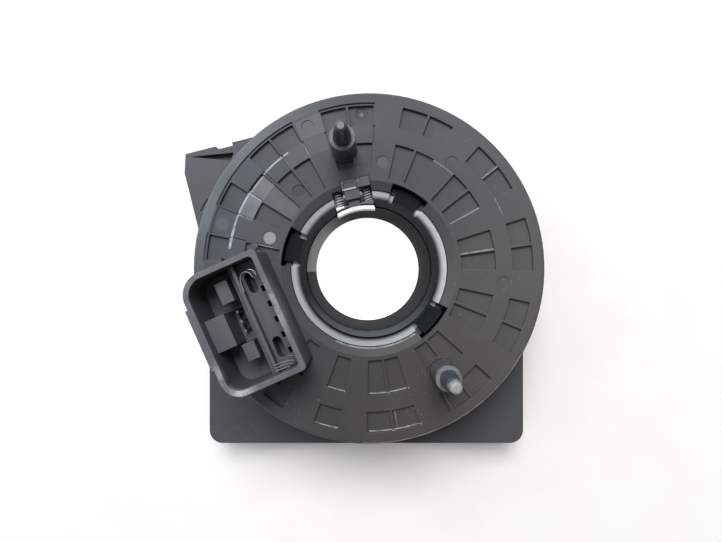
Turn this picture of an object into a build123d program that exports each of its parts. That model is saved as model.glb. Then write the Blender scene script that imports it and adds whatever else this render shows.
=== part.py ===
from build123d import *
import math
import os

# Steering clock spring with a steering-angle sensor in its base, in millimetres.
# The origin is on the column axis in the plane of the back cover, and +Z points at the driver.

# ---- bore and rotor -------------------------------------------------------------------------
BORE_R = 19.1
SLEEVE_WALL = 1.5
SLEEVE_BACK_Z = 1.0
SLEEVE_FRONT_DROP = 1.4
MOUTH_STEP = 0.35
MOUTH_DEPTH = 6.4
DISC_R = 52.5
DISC_FRONT_Z = 44.0
DISC_PLATE = 2.5
DISC_EDGE_CHAMFER = 0.7
SKIRT_WALL = 1.4
SKIRT_DEPTH = 9.0
COLLAR_R = 23.6
COLLAR_WALL = 2.0
COLLAR_LEDGE = 1.0
COLLAR_CHAMFER_R = 26.3
COLLAR_CHAMFER_DROP = 1.1
RUN_GAP = 0.5

# ---- pockets in the disc face ----------------------------------------------------------------
POCKET_DEPTH = 1.2
POCKET_RIB = 0.7
PAIR_COUNT = 6
PAIR_PITCH = 30.0
PAIR_FIRST = 68.6
PAIR_WIDTH = 19.8
INNER_RING = (27.5, 37.8)
OUTER_RING = (42.8, 49.0)
FAN_START = 88.0
FAN_PITCH = 9.93
FAN_CELLS = ("split", "split", "plain", "split", "split", "long", "split", "shelf", "split")
FAN_INNER_RING = (27.2, 37.5)
FAN_OUTER_RING = (42.8, 48.6)
FAN_LATCH_CLEAR_R = 30.4
FAN_SEAM = 0.5
FAN_SEAM_DEPTH = 0.4
FAN_EDGE_GROOVE = (49.0, 49.5)
FAN_EDGE_DEPTH = 0.6
SHELF_DEPTH = 0.3
LONE_POCKET = (249.6, 259.4)
FAR_POCKET = (229.3, 238.6)
EJECTOR_R = 1.9
EJECTOR_DEPTH = 0.2
EJECTORS = ((45.9, 163.1), (31.1, 162.8), (46.1, 113.4), (32.0, 82.7), (40.1, 52.0), (40.2, 354.0))
POCKET_EJECTORS = ((46.3, 92.8), (31.5, 132.4))

# ---- guide pins ------------------------------------------------------------------------------
BOSS_R = 3.6
BOSS_BORE_R = 2.5
BOSS_HEIGHT = 15.0
BOSS_FOOT = 0.4
PIN_GAP = 0.06
PIN_TIP_R = 1.5
PIN_TIP_BLUNT = 0.35
PIN_RISE = 12.4
PIN_SINK = 9.0
PIN_TAPER_START = 3.0
GUIDE_UPPER = (36.4, 102.0)
GUIDE_LOWER = (37.0, 305.5)

# ---- snap windows, slide ring and lock latch --------------------------------------------------
WINDOW_ANGLES = (61.3, 165.1, 320.1)
WINDOW_SPAN = 26.4
WINDOW_R = 26.4
WINDOW_FLOOR_Z = 39.0
HOOK_SPAN = 19.0
HOOK_R = 25.9
HOOK_THICK = 1.6
SLIDE_RING_GAP = 0.2
SLIDE_RING_DEPTH = 8.4
SLIDE_RING_DROP = 1.7
SLIDE_RING_FALL = 1.9
LATCH_ANGLE = 102.7
LATCH_TRAVEL = 2.0
LATCH_GAP = 0.25
LATCH_REACH = 1.1
LATCH_LIP_HALF = 5.7
LATCH_LIP_BACK = 20.0
LATCH_LIP_WALL = 1.1
LATCH_GROOVE = (0.35, 0.9)
LATCH_LIP_BOTTOM_Z = 37.4
LATCH_TOP_Z = 42.0
LATCH_STEM_HALF = 1.7
LATCH_STEM_BOTTOM_Z = 39.4
LATCH_BAR_HALF = 4.6
LATCH_BAR_IN = 25.9
LATCH_BAR_OUT = 27.0
LATCH_BAR_TOP_Z = 42.6
LATCH_FLOOR_Z = 37.2
RETAINER_THICK = 1.0
RETAINER_SIDES = (-6.0, 2.9)
RETAINER_GAP = 0.1
RETAINER_IN_R = 24.2
RETAINER_OUT_R = 27.3
RETAINER_RIDGE = 0.8
RETAINER_DISH = 0.35
RETAINER_SEAM = (-1.7, 0.3)
TONGUE_HALF = 2.4
TONGUE_IN_R = 21.2
TONGUE_THICK = 0.5
TONGUE_LAP = 0.8
SPRING_OFFSET = 4.4
SPRING_COIL_R = 1.25
SPRING_WIRE_R = 0.2
SPRING_TURNS = 5
SPRING_STEPS = 10
SPRING_WIRE_SIDES = 5
SPRING_SEAT_R = 24.5
SPRING_Z = 40.0

# ---- wheel connector ---------------------------------------------------------------------------
CONNECTOR_ANGLE = 204.0
CONNECTOR_AT_R = 37.4
CONNECTOR_SIZE = (22.7, 35.0)
CONNECTOR_TOP_Z = 63.0
CONNECTOR_CORNERS = (1.2, 5.5, 6.5)
CONNECTOR_WALL = 1.5
CONNECTOR_FLOOR = 1.6
CONNECTOR_PANEL = (0.7, -8.0, 9.4)
DIVIDER_X = 1.6
DIVIDER_WALL = 1.2
DIVIDER_TOP_Z = 53.0
INSERT_GAP = 0.15
INSERT_AIR = 0.75
INSERT_FLOOR_Z = 54.0
INSERT_STRIP_Z = 58.0
INSERT_STRIP = 0.9
CONTACT_SIZE = 0.64
CONTACT_HOLE = 1.7
CONTACT_PITCH = 4.7
CONTACT_COUNT = 5
CONTACT_X = 8.2
CONTACT_MID_Y = -2.35
CONTACT_TOP_Z = 51.0
KEY_SLOT = (2.6, 6.2, 7.0)
KEY_SLOT_X = 5.4
KEY_SLOT_Y = 9.8
PILLARS = ((-2.2, 10.2, 3.6, 6.2, 56.0), (-7.1, 0.2, 5.6, 9.4, 58.0), (-2.2, -7.6, 3.6, 5.0, 55.0))
BLADE_X = -2.4
BLADE_PITCH = 3.0
BLADE_COUNT = 3
BLADE_MID_Y = 1.0
BLADE_TOP_Z = 50.0
CLIP_SIZE = (3.0, 2.0, 1.8)
CLIPS = ((8.6, 1), (-2.7, 1), (-2.4, -1))
CLIP_HOOK = 0.9

# ---- stator: drum and base ---------------------------------------------------------------------
COVER_THICK = 2.0
BASE_FRONT_Z = 18.0
BASE_WALL = 2.0
BASE_HALF_WIDTH = 54.0
BASE_SHIFT_X = -0.6
BASE_BOTTOM_Y = -60.0
BASE_CORNER_R = 4.5
BASE_ROUND_R = 54.0
DRUM_R = 50.0
DRUM_WALL = 2.0
DRUM_TOP_Z = 39.5
CORNER_TURN = 14.0
CORNER_LEFT = -52.6
CORNER_TOP = 52.8
CORNER_FRONT_Z = 21.0
CORNER_CHAMFER = (1.9, 6.2)
CORNER_NOTCH = (-40.1, -34.5, 1.1)
CORNER_WEDGE = ((-49.3, 51.4), (-36.2, 46.9), (-34.8, 49.3))
CORNER_WEDGE_DEPTH = 2.8
CORNER_GROOVE = ((-50.6, 32.9), (-47.3, 36.4), (-46.9, 36.0), (-50.2, 32.5))
CORNER_GROOVE_DEPTH = 0.6
CORNER_INSIDE = (-10.0, -5.0)
SOCKET_CENTRE = (-45.6, 43.2)
SOCKET_SIZE = (10.0, 15.0)
SOCKET_DEPTH = 15.0
SOCKET_EDGE = 1.5
HEADER_ROOF = 1.0
POST_R = 3.3
POST_FOOT_STEP = 0.8
POSTS = ((-47.6, -53.0), (46.4, -53.0), (47.6, 12.7), (6.0, 48.8))
SCREW_R = 1.25
SCREW_HEAD_R = 2.6
SCREW_HEAD = 1.3
SCREW_LENGTH = 9.0
SCREW_GAP = 0.1

# ---- sensor --------------------------------------------------------------------------------------
BOARD_Z = 3.0
BOARD_THICK = 1.6
BOARD_R = 48.6
BOARD_HOLE_R = 22.4
BOARD_WING_EDGE = 3.0
BOARD_WING_RIGHT = -20.0
GEAR_MODULE = 1.0
HUB_TEETH = 48
COUNTER_TEETH = 16
GEAR_Z = 6.6
GEAR_THICK = 2.8
GEAR_BACKLASH = 0.22
GEAR_PRESSURE = 20.0
GEAR_DEDENDUM = 1.25
GEAR_ROOT_SINK = 0.3
GEAR_FLANK = 1.15
COUNTER_ANGLE = 315.0
AXLE_R = 1.25
AXLE_GAP = 0.1
AXLE_BOSS_R = 2.6
AXLE_TOP_Z = 10.4
MAGNET_R = (3.4, 5.6)
MAGNET_THICK = 1.2
CODE_RING_Z = 12.5
CODE_RING_THICK = 1.0
CODE_RING_R = 38.0
FLANGE_R = 25.0
FLANGE_THICK = 1.5
CODE_RING_EDGE = 0.8
TRACK_COARSE_WIDTH = 1.4
TRACK_SPACE = 1.0
TRACK_FINE_WIDTH = 1.6
TRACK_FINE_SLOTS = 24
TRACK_COARSE_SLOTS = ((10, 34), (62, 20), (101, 41), (170, 12), (211, 55), (300, 28))
BARRIER_ANGLES = (262.0, 18.0)
BARRIER_WIDTH = 6.0
BARRIER_SPACE = 1.6
BARRIER_SPINE = 3.8
BARRIER_OVERHANG = 0.6
BARRIER_ARM = 1.6
BARRIER_AIR = 1.0
CHIP_SIZE = (10.0, 10.0, 1.5)
CHIP_AT = (36.0, 176.0)
HALL_SIZE = (2.4, 2.4, 0.8)

# ---- flat cable -----------------------------------------------------------------------------------
CABLE_THICK = 0.35
CABLE_BACK_Z = 20.0
CABLE_FRONT_Z = 37.0
CABLE_INNER_R = 29.5
CABLE_PITCH = 3.08
CABLE_HALF_TURNS = 10
TERMINAL_SPAN = 6.0
TERMINAL_GAP = 0.15
TERMINAL_PIN_HOLE = 1.0
TERMINAL_SLOT = 1.6
TERMINAL_SLOT_END = 1.0
OUTER_PIN_COUNT = 6
OUTER_PIN_PITCH = 1.2

# ---- column connector -------------------------------------------------------------------------------
PIN_ROWS = ((-2.6, 10.4), (0.4, 12.4))
COLUMN_PINS_PER_ROW = 5
COLUMN_PIN_PITCH = 2.2
COLUMN_PIN_TIP_Z = 5.0
COLUMN_TAIL = 3.2
COLUMN_TAIL_STEP = 1.6

# ---- values that follow ----------------------------------------------------------------------------
SLEEVE_R = BORE_R + SLEEVE_WALL
SLEEVE_FRONT_Z = DISC_FRONT_Z - SLEEVE_FRONT_DROP
MOUTH_Z = SLEEVE_FRONT_Z - MOUTH_DEPTH
PLATE_BACK_Z = DISC_FRONT_Z - DISC_PLATE
POCKET_Z = DISC_FRONT_Z - POCKET_DEPTH
COLLAR_OUT_R = COLLAR_R + COLLAR_WALL
FLOOR_BACK_Z = BASE_FRONT_Z - BASE_WALL
COLLAR_BACK_Z = BASE_FRONT_Z + RUN_GAP
LEDGE_R = COLLAR_R - COLLAR_LEDGE
SLIDE_OUT_R = COLLAR_R - SLIDE_RING_GAP
SLIDE_IN_R = SLEEVE_R + SLIDE_RING_GAP
SLIDE_FRONT_Z = DISC_FRONT_Z - SLIDE_RING_DROP
SLIDE_BACK_Z = SLIDE_FRONT_Z - SLIDE_RING_DEPTH
DRUM_IN_R = DRUM_R - DRUM_WALL
CENTRE_HOLE_R = SLEEVE_R + RUN_GAP
BOARD_TOP_Z = BOARD_Z + BOARD_THICK
COUNTER_DISTANCE = GEAR_MODULE * (HUB_TEETH + COUNTER_TEETH) / 2
CABLE_OUTER_R = CABLE_INNER_R + CABLE_PITCH * CABLE_HALF_TURNS / 2
TERMINAL_IN_R = CABLE_OUTER_R + CABLE_THICK
TERMINAL_OUT_R = DRUM_IN_R - TERMINAL_GAP
TERMINAL_FRONT_Z = PLATE_BACK_Z - TERMINAL_GAP
INSERT_BACK_Z = DISC_FRONT_Z + CONNECTOR_FLOOR
TRACK_COARSE_OUT = CODE_RING_R - CODE_RING_EDGE
TRACK_COARSE_IN = TRACK_COARSE_OUT - TRACK_COARSE_WIDTH
TRACK_FINE_OUT = TRACK_COARSE_IN - TRACK_SPACE
TRACK_FINE_IN = TRACK_FINE_OUT - TRACK_FINE_WIDTH
BARRIER_SPINE_IN = CODE_RING_R + BARRIER_SPACE
BARRIER_SPINE_OUT = BARRIER_SPINE_IN + BARRIER_SPINE
BARRIER_REACH = TRACK_FINE_IN - BARRIER_OVERHANG
AXLE_BOSS_TOP_Z = GEAR_Z - MAGNET_THICK
LATCH_FAR_R = LATCH_BAR_OUT + LATCH_TRAVEL + LATCH_GAP
RETAINER_BACK_Z = DISC_FRONT_Z - RETAINER_THICK
OVERCUT = 1.0


def polar(r, angle):
    """The point at radius r and an angle in degrees."""
    return (r * math.cos(math.radians(angle)), r * math.sin(math.radians(angle)))


def prism(sketch, z_low, z_high):
    """A flat outline extruded from one height to another."""
    return Pos(0, 0, z_low) * extrude(sketch, z_high - z_low)


def ring(r_out, r_in, z_low, z_high):
    return prism(Circle(r_out) - Circle(r_in), z_low, z_high)


def disc(r, z_low, z_high, at=(0, 0)):
    return Pos(*at, 0) * prism(Circle(r), z_low, z_high)


def block(x_low, x_high, y_low, y_high, z_low, z_high):
    centre = Pos((x_low + x_high) / 2, (y_low + y_high) / 2, (z_low + z_high) / 2)
    return centre * Box(x_high - x_low, y_high - y_low, z_high - z_low)


def sector_face(r_in, r_out, start, end):
    """A flat piece of ring between two radii and two angles."""
    sweep = end - start
    edges = [
        CenterArc((0, 0), r_out, start, sweep),
        Line(polar(r_out, end), polar(r_in, end)),
        CenterArc((0, 0), r_in, end, -sweep),
        Line(polar(r_in, start), polar(r_out, start)),
    ]
    return make_face(edges)


def sector(r_in, r_out, start, end, z_low, z_high):
    return prism(sector_face(r_in, r_out, start, end), z_low, z_high)


def pocket(r_in, r_out, start, end, rib):
    """A sector pocket whose sides stand half a rib inside its two angles."""
    mid_r = (r_in + r_out) / 2
    side = math.degrees(rib / 2 / mid_r)
    return sector(r_in, r_out, start + side, end - side, POCKET_Z, DISC_FRONT_Z + OVERCUT)


def radial(angle, part):
    """A part drawn with its radial direction along +X, turned to an angle."""
    return Rot(0, 0, angle) * part


def in_connector(part):
    """A part drawn about the wheel connector's centre, with +X towards the column axis."""
    return Pos(*polar(CONNECTOR_AT_R, CONNECTOR_ANGLE), 0) * Rot(0, 0, CONNECTOR_ANGLE - 180) * part


def in_corner(part):
    """A part drawn on the turned axes of the base's upper left corner."""
    return Rot(0, 0, CORNER_TURN) * part


# ---- rotor -------------------------------------------------------------------------------------------
def fan_cell(kind, start, end):
    """The pockets and grooves of one cell of the fan."""
    mid = (start + end) / 2
    beside_latch = abs(mid - LATCH_ANGLE) < 1.5 * FAN_PITCH
    in_r = FAN_LATCH_CLEAR_R if beside_latch else FAN_INNER_RING[0]
    top = DISC_FRONT_Z + OVERCUT
    if kind == "shelf":
        return [sector(*FAN_OUTER_RING, start, end, DISC_FRONT_Z - SHELF_DEPTH, top)]
    groove = sector(*FAN_EDGE_GROOVE, start, end, DISC_FRONT_Z - FAN_EDGE_DEPTH, top)
    if kind == "long":
        return [groove, pocket(in_r, FAN_OUTER_RING[0], start, end, POCKET_RIB)]
    inner = pocket(in_r, FAN_INNER_RING[1], start, end, POCKET_RIB)
    outer = pocket(*FAN_OUTER_RING, start, end, POCKET_RIB)
    seams = []
    for angle in (start, end):
        half = math.degrees(FAN_SEAM / 2 / FAN_OUTER_RING[0])
        seam_z = DISC_FRONT_Z - FAN_SEAM_DEPTH
        seams.append(sector(FAN_INNER_RING[1], FAN_OUTER_RING[0], angle - half, angle + half, seam_z, top))
    return [groove, inner, outer] + seams


def disc_pockets():
    """Paired pockets all round and a fan of closer cells in the upper left."""
    cuts = []
    spans = [LONE_POCKET, FAR_POCKET]
    for k in range(PAIR_COUNT):
        middle = PAIR_FIRST - k * PAIR_PITCH
        spans += [(middle - PAIR_WIDTH / 2, middle), (middle, middle + PAIR_WIDTH / 2)]
    for start, end in spans:
        cuts += [pocket(*span, start, end, POCKET_RIB) for span in (INNER_RING, OUTER_RING)]
    for k, kind in enumerate(FAN_CELLS):
        start = FAN_START + k * FAN_PITCH
        if kind != "plain":
            cuts += fan_cell(kind, start, start + FAN_PITCH)
    return cuts


def snap_window(angle):
    """The notch in the collar's edge that one sleeve hook closes over."""
    half = WINDOW_SPAN / 2
    top = DISC_FRONT_Z + OVERCUT
    return sector(LEDGE_R - OVERCUT, WINDOW_R, angle - half, angle + half, WINDOW_FLOOR_Z, top)


def latch_cuts():
    """The latch's slot, its two spring seats and the notch for its bar."""
    top = DISC_FRONT_Z + OVERCUT
    stem = LATCH_STEM_HALF + LATCH_GAP
    bar = LATCH_BAR_HALF + LATCH_GAP
    lip = LATCH_LIP_HALF + LATCH_GAP
    spring = SPRING_COIL_R + LATCH_GAP
    low = LATCH_STEM_BOTTOM_Z - LATCH_GAP
    cuts = [
        block(BORE_R, LATCH_BAR_IN, -stem, stem, low, top),
        block(COLLAR_OUT_R - COLLAR_WALL / 2, LATCH_FAR_R, -bar, bar, low, RETAINER_BACK_Z),
        block(BORE_R, LATCH_LIP_BACK + LATCH_TRAVEL + LATCH_GAP, -lip, lip, LATCH_FLOOR_Z, top),
    ]
    for side in (-1, 1):
        y = side * SPRING_OFFSET
        cuts.append(block(BORE_R, SPRING_SEAT_R, y - spring, y + spring, SPRING_Z - spring, top))
    return radial(LATCH_ANGLE, Part() + cuts)


def retainer_plate(gap, top):
    """The plate that closes the latch's slot, with its tongue, shrunk all round by a gap."""
    low, high = RETAINER_SIDES[0] + gap, RETAINER_SIDES[1] - gap
    tongue = TONGUE_HALF - gap
    in_r, far_r = RETAINER_IN_R + gap, RETAINER_OUT_R - gap
    plate = block(in_r, far_r, low, high, RETAINER_BACK_Z, top)
    tongue_z = RETAINER_BACK_Z - TONGUE_THICK + gap
    plate += block(TONGUE_IN_R + gap, in_r + TONGUE_LAP, -tongue, tongue, tongue_z, top)
    return radial(LATCH_ANGLE, plate)


def latch_retainer():
    """The small cover in the disc over the latch's stem: a dished plate with a ridge and a seam."""
    body = retainer_plate(RETAINER_GAP, DISC_FRONT_Z)
    top = DISC_FRONT_Z + OVERCUT
    step_z, dish_z = DISC_FRONT_Z - RETAINER_THICK / 2, DISC_FRONT_Z - RETAINER_DISH
    high = RETAINER_SIDES[1]
    seam, width = RETAINER_SEAM
    rim = RETAINER_RIDGE
    cuts = [
        block(0, RETAINER_IN_R, -BORE_R, BORE_R, step_z, top),
        block(RETAINER_IN_R + rim, RETAINER_OUT_R - rim, seam, high - rim, dish_z, top),
        block(0, RETAINER_OUT_R, seam - width, seam, dish_z, top),
    ]
    return body - radial(LATCH_ANGLE, Part() + cuts) - disc(COLLAR_R, step_z, top)


def guide_boss(place):
    """A round boss that widens at its foot."""
    foot_r = BOSS_R + BOSS_FOOT
    profile = Polyline(
        (0, POCKET_Z),
        (foot_r, POCKET_Z),
        (foot_r, DISC_FRONT_Z),
        (BOSS_R, DISC_FRONT_Z + BOSS_FOOT),
        (BOSS_R, DISC_FRONT_Z + BOSS_HEIGHT),
        (0, DISC_FRONT_Z + BOSS_HEIGHT),
        close=True,
    )
    return Pos(*polar(*place), 0) * revolve(Plane.XZ * make_face(profile), Axis.Z)


def guide_bore(place):
    top = DISC_FRONT_Z + BOSS_HEIGHT
    bore = disc(BOSS_BORE_R, top - PIN_SINK, top + OVERCUT)
    return Pos(*polar(*place), 0) * bore


def contact_places():
    """Centres of the signal contacts in the connector's own axes."""
    first = CONTACT_MID_Y - CONTACT_PITCH * (CONTACT_COUNT - 1) / 2
    return [(CONTACT_X, first + k * CONTACT_PITCH) for k in range(CONTACT_COUNT)]


def blade_places():
    first = BLADE_MID_Y - BLADE_PITCH * (BLADE_COUNT - 1) / 2
    return [(BLADE_X, first + k * BLADE_PITCH) for k in range(BLADE_COUNT)]


def contact_slots(z_low, z_high, margin):
    """One slot round the signal contacts and one round the blades."""
    slots = []
    for places in (contact_places(), blade_places()):
        x = places[0][0]
        y_low, y_high = places[0][1], places[-1][1]
        slots.append(block(x - margin, x + margin, y_low - margin, y_high + margin, z_low, z_high))
    return slots


def clip_hooks():
    """Hooks on the disc that hold the wheel connector's foot lugs down."""
    width, out, high = CLIP_SIZE
    face = CONNECTOR_SIZE[1] / 2 + out + INSERT_GAP
    top = DISC_FRONT_Z + high + INSERT_GAP
    hooks = []
    for x, side in CLIPS:
        low, far = sorted((side * face, side * (face + CLIP_HOOK)))
        near, end = sorted((side * (face - CLIP_HOOK), side * (face + CLIP_HOOK)))
        x_low, x_high = x - width / 2, x + width / 2
        hooks.append(block(x_low, x_high, low, far, PLATE_BACK_Z + POCKET_DEPTH, top + CLIP_HOOK))
        hooks.append(block(x_low, x_high, near, end, top, top + CLIP_HOOK))
    return hooks


def rotor_disc():
    skirt_in = DISC_R - SKIRT_WALL
    edge = DISC_EDGE_CHAMFER
    profile = Polyline(
        (DISC_R, DISC_FRONT_Z - SKIRT_DEPTH),
        (DISC_R, DISC_FRONT_Z - edge),
        (DISC_R - edge, DISC_FRONT_Z),
        (COLLAR_CHAMFER_R, DISC_FRONT_Z),
        (COLLAR_R, DISC_FRONT_Z - COLLAR_CHAMFER_DROP),
        (COLLAR_R, SLIDE_BACK_Z),
        (LEDGE_R, SLIDE_BACK_Z),
        (LEDGE_R, COLLAR_BACK_Z),
        (COLLAR_OUT_R, COLLAR_BACK_Z),
        (COLLAR_OUT_R, PLATE_BACK_Z),
        (skirt_in, PLATE_BACK_Z),
        (skirt_in, DISC_FRONT_Z - SKIRT_DEPTH),
        close=True,
    )
    body = revolve(Plane.XZ * make_face(profile), Axis.Z)
    body -= disc_pockets()
    body += [guide_boss(GUIDE_UPPER), guide_boss(GUIDE_LOWER)]
    body += [in_connector(hook) for hook in clip_hooks()]
    cuts = [snap_window(angle) for angle in WINDOW_ANGLES]
    cuts += [guide_bore(GUIDE_UPPER), guide_bore(GUIDE_LOWER), latch_cuts()]
    cuts.append(retainer_plate(0, DISC_FRONT_Z + OVERCUT))
    slots = contact_slots(PLATE_BACK_Z - OVERCUT, DISC_FRONT_Z + OVERCUT, CONTACT_HOLE)
    cuts += [in_connector(slot) for slot in slots]
    for places, z in ((EJECTORS, DISC_FRONT_Z), (POCKET_EJECTORS, POCKET_Z)):
        for place in places:
            cuts.append(disc(EJECTOR_R, z - EJECTOR_DEPTH, DISC_FRONT_Z + OVERCUT, polar(*place)))
    return body - cuts


def guide_pin(place):
    """A round pin, straight in its boss and tapered to a blunt tip above it."""
    r = BOSS_BORE_R - PIN_GAP
    boss_top = DISC_FRONT_Z + BOSS_HEIGHT
    back, taper, tip = boss_top - PIN_SINK, boss_top + PIN_TAPER_START, boss_top + PIN_RISE
    blunt = PIN_TIP_R * PIN_TIP_BLUNT
    profile = Polyline(
        (0, back),
        (r, back),
        (r, taper),
        (PIN_TIP_R, tip - blunt),
        (PIN_TIP_R - blunt, tip),
        (0, tip),
        close=True,
    )
    return Pos(*polar(*place), 0) * revolve(Plane.XZ * make_face(profile), Axis.Z)


def gear_face(teeth, width_cut):
    """A spur gear outline whose straight flanks stand in for the involute."""
    pitch_r = GEAR_MODULE * teeth / 2
    root_r = pitch_r - GEAR_DEDENDUM * GEAR_MODULE
    tip_r = pitch_r + GEAR_MODULE
    half = 90 / teeth - math.degrees(width_cut / 2 / pitch_r)
    slope = math.degrees(math.tan(math.radians(GEAR_PRESSURE)) * GEAR_MODULE / pitch_r)
    tooth_sides = ((root_r - GEAR_ROOT_SINK, GEAR_FLANK), (tip_r, -GEAR_FLANK))
    up = [polar(r, -half - k * slope) for r, k in tooth_sides]
    down = [polar(r, half + k * slope) for r, k in tooth_sides]
    tooth = make_face(Polyline(*up, *reversed(down), close=True))
    return Circle(root_r) + [Rot(0, 0, k * 360 / teeth) * tooth for k in range(teeth)]


def hub_sleeve():
    """The bored hub with its sensor gear, the code ring's flange and three snap hooks."""
    body = ring(SLEEVE_R, BORE_R, SLEEVE_BACK_Z, SLEEVE_FRONT_Z)
    gear = gear_face(HUB_TEETH, GEAR_BACKLASH) - Circle(BORE_R)
    body += prism(gear, GEAR_Z, GEAR_Z + GEAR_THICK)
    body += ring(FLANGE_R, BORE_R, CODE_RING_Z - FLANGE_THICK, CODE_RING_Z)
    for angle in WINDOW_ANGLES:
        low, high = angle - HOOK_SPAN / 2, angle + HOOK_SPAN / 2
        hook_z = WINDOW_FLOOR_Z + LATCH_GAP / 2
        body += sector(BORE_R + MOUTH_STEP, HOOK_R, low, high, hook_z, hook_z + HOOK_THICK)
    body -= disc(BORE_R + MOUTH_STEP, MOUTH_Z, SLEEVE_FRONT_Z + OVERCUT)
    lip = LATCH_LIP_HALF + LATCH_GAP
    gate = block(0, HOOK_R, -lip, lip, LATCH_FLOOR_Z, SLEEVE_FRONT_Z + OVERCUT)
    return body - radial(LATCH_ANGLE, gate)


def slide_ring():
    """The natural-coloured ring between sleeve and collar, with gaps for hooks and latch."""
    profile = Polyline(
        (SLIDE_IN_R, SLIDE_BACK_Z),
        (SLIDE_OUT_R, SLIDE_BACK_Z),
        (SLIDE_OUT_R, SLIDE_FRONT_Z),
        (SLIDE_IN_R, SLIDE_FRONT_Z - SLIDE_RING_FALL),
        close=True,
    )
    body = revolve(Plane.XZ * make_face(profile), Axis.Z)
    half = WINDOW_SPAN / 2
    gap_z = WINDOW_FLOOR_Z - LATCH_GAP
    top = DISC_FRONT_Z
    for angle in WINDOW_ANGLES:
        body -= sector(BORE_R, WINDOW_R, angle - half, angle + half, gap_z, top)
    return body - latch_cuts()


def lock_latch():
    """The centring latch: a grooved lip in the bore, a stem through the collar and an outer bar."""
    lip_r = BORE_R - LATCH_REACH
    lip = block(0, LATCH_LIP_BACK, -LATCH_LIP_HALF, LATCH_LIP_HALF, LATCH_LIP_BOTTOM_Z, LATCH_TOP_Z)
    lip -= disc(lip_r, LATCH_LIP_BOTTOM_Z - OVERCUT, LATCH_TOP_Z + OVERCUT)
    lip -= block(-OVERCUT, lip_r / 2, -lip_r, lip_r, 0, LATCH_TOP_Z + OVERCUT)
    wall_r = lip_r + LATCH_LIP_WALL
    width, depth = LATCH_GROOVE
    lip -= ring(wall_r + width, wall_r, LATCH_TOP_Z - depth, LATCH_TOP_Z + OVERCUT)
    stem_end = LATCH_BAR_OUT
    stem_half = LATCH_STEM_HALF
    stem = block(lip_r + 1, stem_end, -stem_half, stem_half, LATCH_STEM_BOTTOM_Z, LATCH_TOP_Z)
    bar_half = LATCH_BAR_HALF
    bar = block(LATCH_BAR_IN, stem_end, -bar_half, bar_half, LATCH_STEM_BOTTOM_Z, LATCH_BAR_TOP_Z)
    return radial(LATCH_ANGLE, lip + stem + bar)


def latch_spring(side):
    """A small coil between the latch's lip and its seat in the collar."""
    length = SPRING_SEAT_R - LATCH_LIP_BACK - 2 * SPRING_WIRE_R - 2 * PIN_GAP
    coil_r = SPRING_COIL_R - SPRING_WIRE_R
    steps = SPRING_TURNS * SPRING_STEPS
    turns = [(*polar(coil_r, k * 360 / SPRING_STEPS), k * length / steps) for k in range(steps + 1)]
    path = Polyline(*turns)
    wire = Plane(origin=path @ 0, z_dir=path % 0) * RegularPolygon(SPRING_WIRE_R, SPRING_WIRE_SIDES)
    coil = sweep(wire, path=path, transition=Transition.RIGHT)
    seat = LATCH_LIP_BACK + SPRING_WIRE_R + PIN_GAP
    return radial(LATCH_ANGLE, Pos(seat, side * SPRING_OFFSET, SPRING_Z) * Rot(0, 90, 0) * coil)


def code_ring():
    """The slotted ring read by the two light barriers."""
    face = Circle(CODE_RING_R) - Circle(SLIDE_IN_R)
    step = 360 / TRACK_FINE_SLOTS
    for k in range(TRACK_FINE_SLOTS):
        face -= sector_face(TRACK_FINE_IN, TRACK_FINE_OUT, k * step, (k + 0.5) * step)
    for start, sweep_angle in TRACK_COARSE_SLOTS:
        face -= sector_face(TRACK_COARSE_IN, TRACK_COARSE_OUT, start, start + sweep_angle)
    return prism(face, CODE_RING_Z, CODE_RING_Z + CODE_RING_THICK)


# ---- wheel connector -------------------------------------------------------------------------------
def connector_outline(shrink):
    """The shroud's outline: sharp corners at the column side, large ones outside."""
    x, y = CONNECTOR_SIZE[0] / 2 - shrink, CONNECTOR_SIZE[1] / 2 - shrink
    inner_r, low_r, high_r = CONNECTOR_CORNERS
    radii = (inner_r, inner_r, high_r - shrink, low_r - shrink)
    corners = [(x, -y), (x, y), (-x, y), (-x, -y)]
    return make_face(FilletPolyline(*corners, radius=radii, close=True))


def wheel_connector_housing():
    """An open shroud with a divider, three stepped pillars and foot lugs."""
    z_low, z_high = DISC_FRONT_Z, CONNECTOR_TOP_Z
    inside_y = CONNECTOR_SIZE[1] / 2 - CONNECTOR_WALL
    body = prism(connector_outline(0), z_low, z_high)
    panel_out, panel_low, panel_high = CONNECTOR_PANEL
    panel_x = -CONNECTOR_SIZE[0] / 2
    inside_x = panel_x + CONNECTOR_WALL / 2
    body += block(panel_x - panel_out, inside_x, panel_low, panel_high, z_low, z_high)
    hollow = prism(connector_outline(CONNECTOR_WALL), INSERT_BACK_Z, z_high + OVERCUT)
    wall = block(DIVIDER_X - DIVIDER_WALL, DIVIDER_X, -inside_y, inside_y, z_low, DIVIDER_TOP_Z)
    body = body - hollow + wall
    for x, y, width, length, top in PILLARS:
        body += block(x - width / 2, x + width / 2, y - length / 2, y + length / 2, z_low, top)
    width, out, high = CLIP_SIZE
    for x, side in CLIPS:
        y_low, y_high = sorted((side * inside_y, side * (CONNECTOR_SIZE[1] / 2 + out)))
        body += block(x - width / 2, x + width / 2, y_low, y_high, z_low, z_low + high)
    body -= contact_slots(z_low - OVERCUT, INSERT_BACK_Z + OVERCUT, CONTACT_HOLE / 2)
    return in_connector(body)


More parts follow.
